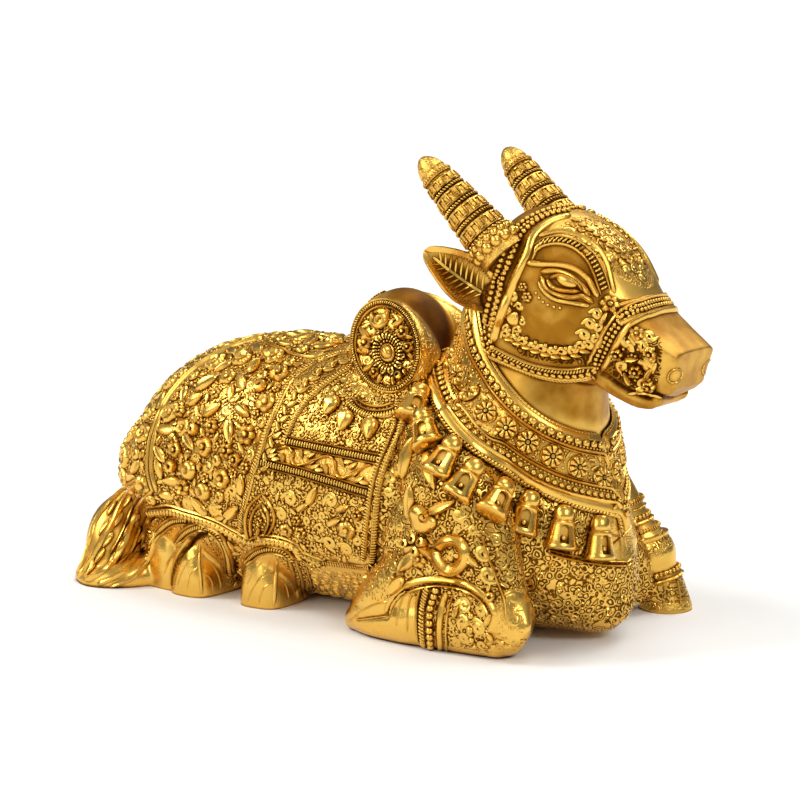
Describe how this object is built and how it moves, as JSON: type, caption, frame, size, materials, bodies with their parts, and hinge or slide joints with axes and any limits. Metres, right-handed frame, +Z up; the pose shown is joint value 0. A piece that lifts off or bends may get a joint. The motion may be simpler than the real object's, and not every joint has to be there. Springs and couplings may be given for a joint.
{
  "type": "nandi bull figure",
  "caption": "Reclining bull figure in cast brass with saddle cloth, collar, bells, bridle, hump medal and ringed horns; lies on its underside.",
  "frame": {"origin": "middle of the bounding box in X and Y, on the surface the figure lies on", "axes": "+X towards the muzzle along the body, +Y to the bull's left, +Z up"},
  "size_m": [0.209, 0.0964, 0.1437],
  "materials": {
    "brass": "polished on the raised parts, dark patina in the recesses"
  },
  "bodies": {
    "root": {"bull_figure": "brass"}
  },
  "joints": []
}
